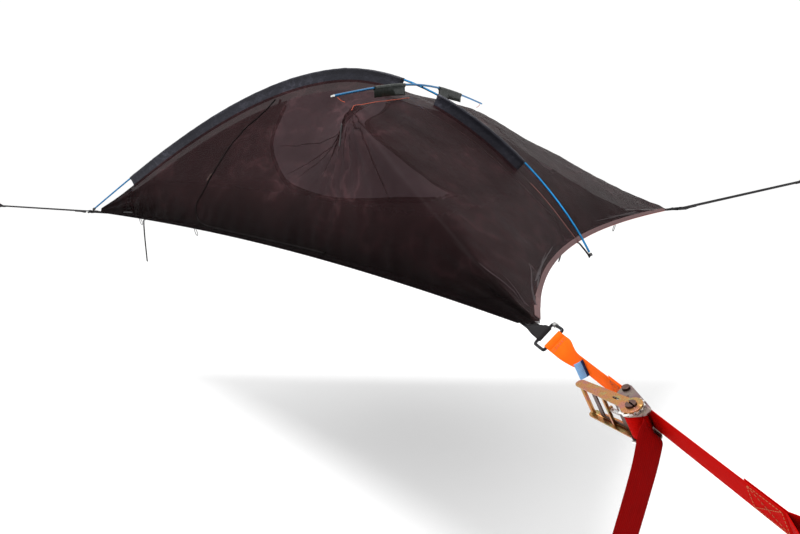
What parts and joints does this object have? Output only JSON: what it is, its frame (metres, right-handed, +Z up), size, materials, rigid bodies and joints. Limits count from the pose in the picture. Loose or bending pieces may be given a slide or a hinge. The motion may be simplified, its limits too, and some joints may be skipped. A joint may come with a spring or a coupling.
{
  "type": "suspended tree tent",
  "caption": "Triangular tent hung by straps from its corners, with arched poles in sleeves, zipped shell, inner walls, screw links and a webbing ratchet with pawls and handle.",
  "frame": {"origin": "middle of the three corners, on the plane of the hems", "axes": "+X from the foot corner towards the head edge, +Y towards the far head corner, +Z up"},
  "size_m": [4.9625, 4.3329, 1.106],
  "materials": {
    "shell_cloth": "thin coated nylon",
    "inner_cloth": "fine mesh",
    "floor_cloth": "coated woven nylon",
    "black_webbing": "woven webbing",
    "head_webbing": "woven webbing",
    "black_sleeve": "glossy coated sleeve cloth",
    "green_sleeve": "coated sleeve cloth",
    "blue_pole": "blue anodised",
    "silver": "bright",
    "zip_black": "zip tape",
    "orange_webbing": "woven webbing",
    "red_webbing": "woven webbing",
    "blue_label": "bare woven label",
    "yellow_zinc": "yellow zinc plated",
    "mauve_zinc": "zinc plated",
    "dark_steel": "dark plated",
    "black_steel": "black",
    "grey_cord": "elastic cord"
  },
  "bodies": {
    "tent": {"corner_loop_far": "black_webbing", "corner_loop_foot": "black_webbing", "corner_loop_near": "black_webbing", "door_zip_far": "zip_black", "door_zip_near": "zip_black", "far_tree_strap": "black_webbing", "floor_panel": "floor_cloth", "foot_tree_strap": "black_webbing", "hanging_strap": "black_webbing", "head_pole_tab": "black_webbing", "hem_webbing_far": "black_webbing", "hem_webbing_head": "head_webbing", "hem_webbing_near": "black_webbing", "inner_wall_far": "inner_cloth", "inner_wall_near": "inner_cloth", "link_far": "black_steel", "link_foot": "black_steel", "link_near": "black_steel", "lock_pawl_spring": "silver", "long_strap": "red_webbing", "main_pole": "blue_pole", "main_sleeve_front": "black_sleeve", "main_sleeve_rear": "black_sleeve", "pole_cup_foot": "black_webbing", "pole_cup_head": "black_webbing", "pole_tip_foot": "silver", "pole_tip_head": "silver", "ratchet_frame": "mauve_zinc", "shell_panel_far": "shell_cloth", "shell_panel_near": "shell_cloth", "short_strap": "orange_webbing", "spreader_pole": "blue_pole", "spreader_sleeve_far": "green_sleeve", "spreader_sleeve_near": "green_sleeve", "spreader_tie_far": "grey_cord", "spreader_tie_near": "grey_cord", "spreader_tip_far": "silver", "spreader_tip_near": "silver", "strap_bolt": "dark_steel", "strap_bolt_nut": "silver", "strap_label": "blue_label", "strap_tail": "red_webbing", "tieback_toggle_far": "black_webbing", "tieback_toggle_near": "black_webbing"},
    "handle": {"ratchet_handle": "yellow_zinc", "handle_pawl_spring": "silver"},
    "handle_pawl_body": {"handle_pawl": "dark_steel"},
    "lock_pawl_body": {"lock_pawl": "dark_steel"},
    "spool": {"spool_half_upper": "dark_steel", "spool_half_lower": "dark_steel", "ratchet_wheel_near": "silver", "ratchet_wheel_far": "silver", "wound_webbing": "red_webbing"},
    "link_nut_foot_body": {"link_nut_foot": "silver"},
    "link_nut_near_body": {"link_nut_near": "silver"},
    "link_nut_far_body": {"link_nut_far": "silver"},
    "slider_near": {"zip_slider_near": "dark_steel"},
    "pull_near": {"zip_pull_near": "dark_steel"},
    "slider_far": {"zip_slider_far": "dark_steel"},
    "pull_far": {"zip_pull_far": "dark_steel"}
  },
  "joints": [
    {"name": "handle_hinge", "type": "hinge", "parent": "tent", "child": "handle", "pos_m": [1.35832, -1.74008, -0.01953], "axis": [-0.3307, -0.2885, 0.8986], "range_deg": [0, 90]},
    {"name": "spool_turn", "type": "hinge", "parent": "tent", "child": "spool", "pos_m": [1.35832, -1.74008, -0.01953], "axis": [0.3307, 0.2885, -0.8986], "continuous": true},
    {"name": "handle_pawl_slide", "type": "slide", "parent": "handle", "child": "handle_pawl_body", "axis": [0.7565, -0.6503, 0.0696], "range_m": [0, 0.0066], "stiffness_N_per_m": 400, "springref_m": 0.0106, "deforming": ["handle_pawl_spring"]},
    {"name": "lock_pawl_slide", "type": "slide", "parent": "tent", "child": "lock_pawl_body", "axis": [-0.373, 0.9146, 0.1564], "range_m": [0, 0.0066], "stiffness_N_per_m": 400, "springref_m": -0.004, "deforming": ["lock_pawl_spring"]},
    {"name": "link_nut_foot_slide", "type": "slide", "parent": "tent", "child": "link_nut_foot_body", "axis": [-1, 0, 0], "range_m": [0, 0.012]},
    {"name": "link_nut_near_slide", "type": "slide", "parent": "tent", "child": "link_nut_near_body", "axis": [0.6228, -0.7824, 0], "range_m": [0, 0.012]},
    {"name": "link_nut_far_slide", "type": "slide", "parent": "tent", "child": "link_nut_far_body", "axis": [0.6228, 0.7824, 0], "range_m": [0, 0.012]},
    {"name": "zip_near_slide", "type": "slide", "parent": "tent", "child": "slider_near", "axis": [0.3598, 0.3938, 0.8459], "range_m": [0, 0.03]},
    {"name": "zip_pull_near_hinge", "type": "hinge", "parent": "slider_near", "child": "pull_near", "pos_m": [-1.01233, -0.18795, 0.26296], "axis": [-0.8968, 0.3961, 0.197], "range_deg": [0, 150]},
    {"name": "zip_far_slide", "type": "slide", "parent": "tent", "child": "slider_far", "axis": [0.3598, -0.3938, 0.8459], "range_m": [0, 0.03]},
    {"name": "zip_pull_far_hinge", "type": "hinge", "parent": "slider_far", "child": "pull_far", "pos_m": [-1.01233, 0.18795, 0.26296], "axis": [0.8968, 0.3961, -0.197], "range_deg": [0, 150]}
  ]
}
